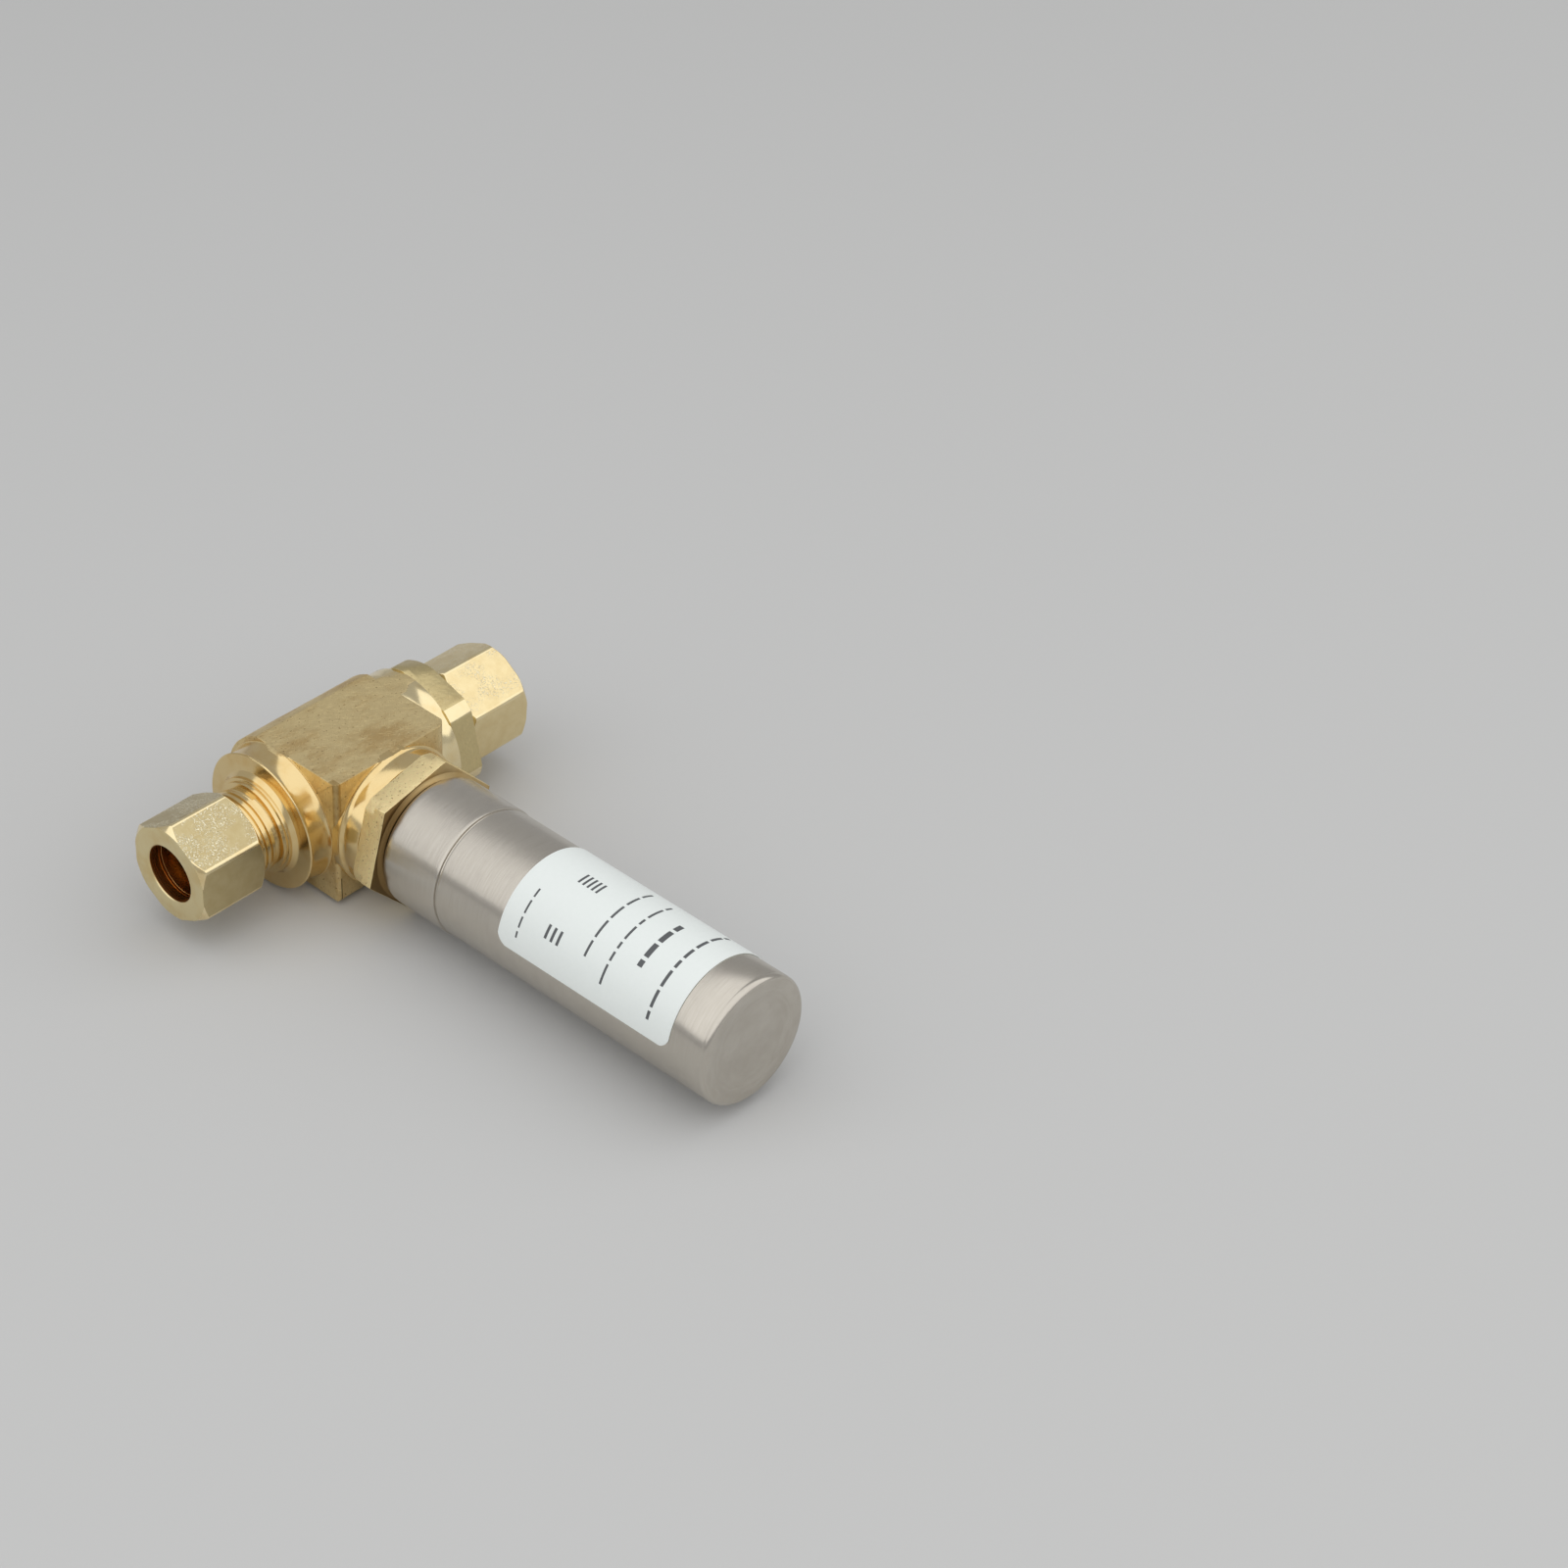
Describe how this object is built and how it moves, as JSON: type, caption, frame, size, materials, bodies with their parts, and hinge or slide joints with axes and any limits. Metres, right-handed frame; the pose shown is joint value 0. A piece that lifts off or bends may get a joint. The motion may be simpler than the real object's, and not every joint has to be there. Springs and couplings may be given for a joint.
{
  "type": "water hammer arrestor",
  "caption": "Water hammer arrestor: a capped steel canister with a sliding piston on a brass tee with a compression nut at each end.",
  "frame": {"origin": "where the centre line of the run crosses the centre line of the branch", "axes": "+X along the run towards the hexagon end, -Y along the branch towards the canister's closed end, +Z out of the forging's flat top"},
  "size_m": [0.0676, 0.1026, 0.0248],
  "materials": {
    "tee_brass": "as forged, with turned bands",
    "nut_brass": "machined bar",
    "ferrule_brass": "turned",
    "base_brass": "as forged hexagon, turned cone",
    "canister_steel": "brushed around",
    "seal_rubber": "moulded",
    "piston_plastic": "moulded",
    "label_film": "printed film"
  },
  "bodies": {
    "tee": {"tee_body": "tee_brass", "arrestor_base": "base_brass", "base_o_ring": "seal_rubber", "canister": "canister_steel", "label": "label_film"},
    "left_ferrule": {"left_ferrule": "ferrule_brass"},
    "left_nut": {"left_nut": "nut_brass"},
    "right_ferrule": {"right_ferrule": "ferrule_brass"},
    "right_nut": {"right_nut": "nut_brass"},
    "piston": {"piston": "piston_plastic", "piston_ring_front": "seal_rubber", "piston_ring_rear": "seal_rubber"}
  },
  "joints": [
    {"name": "piston_slide", "type": "slide", "parent": "tee", "child": "piston", "axis": [0, -1, 0], "range_m": [0, 0.034], "stiffness_N_per_m": 200},
    {"name": "left_ferrule_slide", "type": "slide", "parent": "tee", "child": "left_ferrule", "axis": [-1, 0, 0], "range_m": [0, 0.0053]},
    {"name": "left_nut_turn", "type": "hinge", "parent": "left_ferrule", "child": "left_nut", "pos_m": [-0.0277, 0, 0], "axis": [-1, 0, 0], "range_deg": [0, 1800]},
    {"name": "right_ferrule_slide", "type": "slide", "parent": "tee", "child": "right_ferrule", "axis": [1, 0, 0], "range_m": [0, 0.0053]},
    {"name": "right_nut_turn", "type": "hinge", "parent": "right_ferrule", "child": "right_nut", "pos_m": [0.0277, 0, 0], "axis": [1, 0, 0], "range_deg": [0, 1800]}
  ],
  "couplings": [
    {"joint": "left_ferrule_slide", "follows": "left_nut_turn", "m_per_rad": 0.00016844},
    {"joint": "right_ferrule_slide", "follows": "right_nut_turn", "m_per_rad": 0.00016844}
  ]
}
